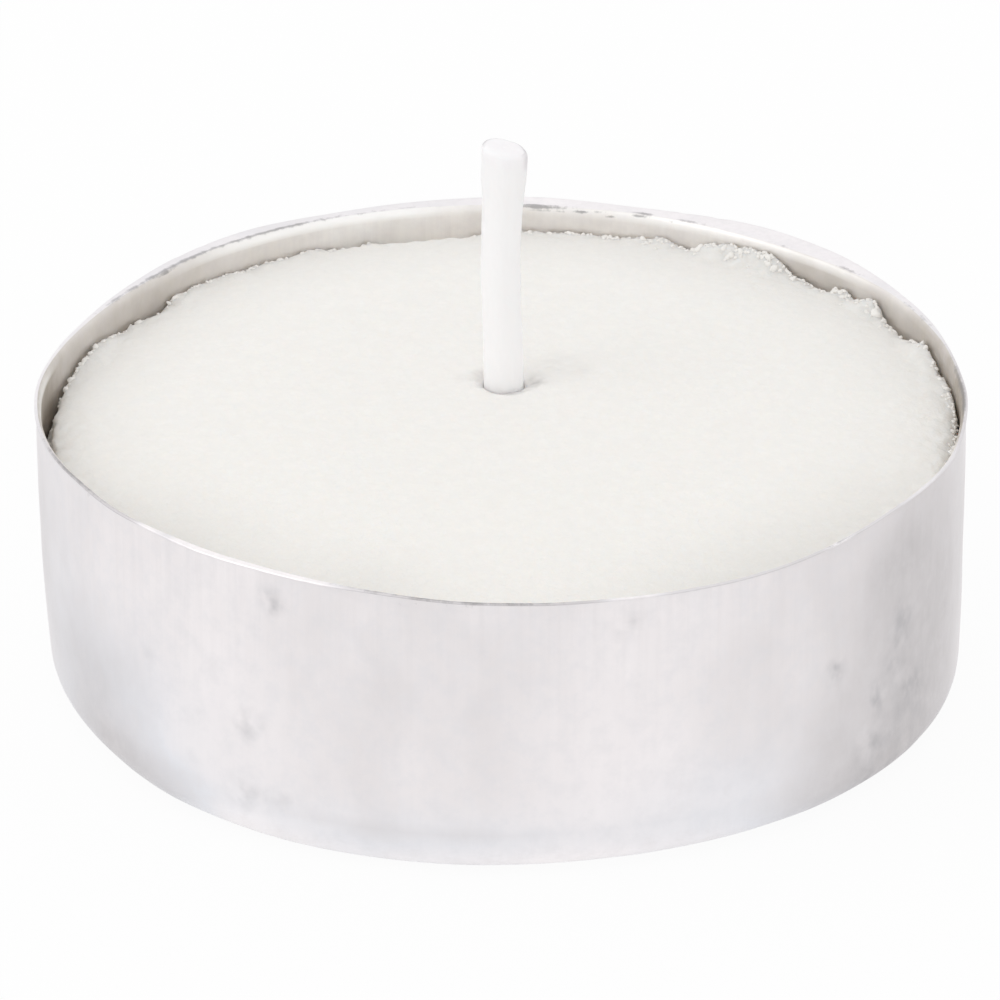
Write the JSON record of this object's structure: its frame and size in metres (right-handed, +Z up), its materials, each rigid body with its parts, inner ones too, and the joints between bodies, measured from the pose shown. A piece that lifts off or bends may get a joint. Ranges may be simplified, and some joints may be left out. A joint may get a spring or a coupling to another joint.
{
  "type": "tea light candle",
  "caption": "Low round candle in a thin drawn aluminium cup, with a pressed wax puck, a waxed wick and a hidden wick sustainer.",
  "frame": {"origin": "centre of the cup's foot, at the level that it stands on", "axes": "+Z up along the cup's axis towards the wick's tip; +Y to the side on which the wick stands a little off centre, the far side in the picture"},
  "size_m": [0.0381, 0.0381, 0.0222],
  "materials": {
    "cup_aluminium": "satin, as drawn",
    "wax": "matt pressed paraffin",
    "wick_cotton": "waxed cotton",
    "sustainer_steel": "tin plate"
  },
  "bodies": {
    "root": {"cup": "cup_aluminium", "wax_puck": "wax", "wick": "wick_cotton", "wick_sustainer": "sustainer_steel"}
  },
  "joints": []
}
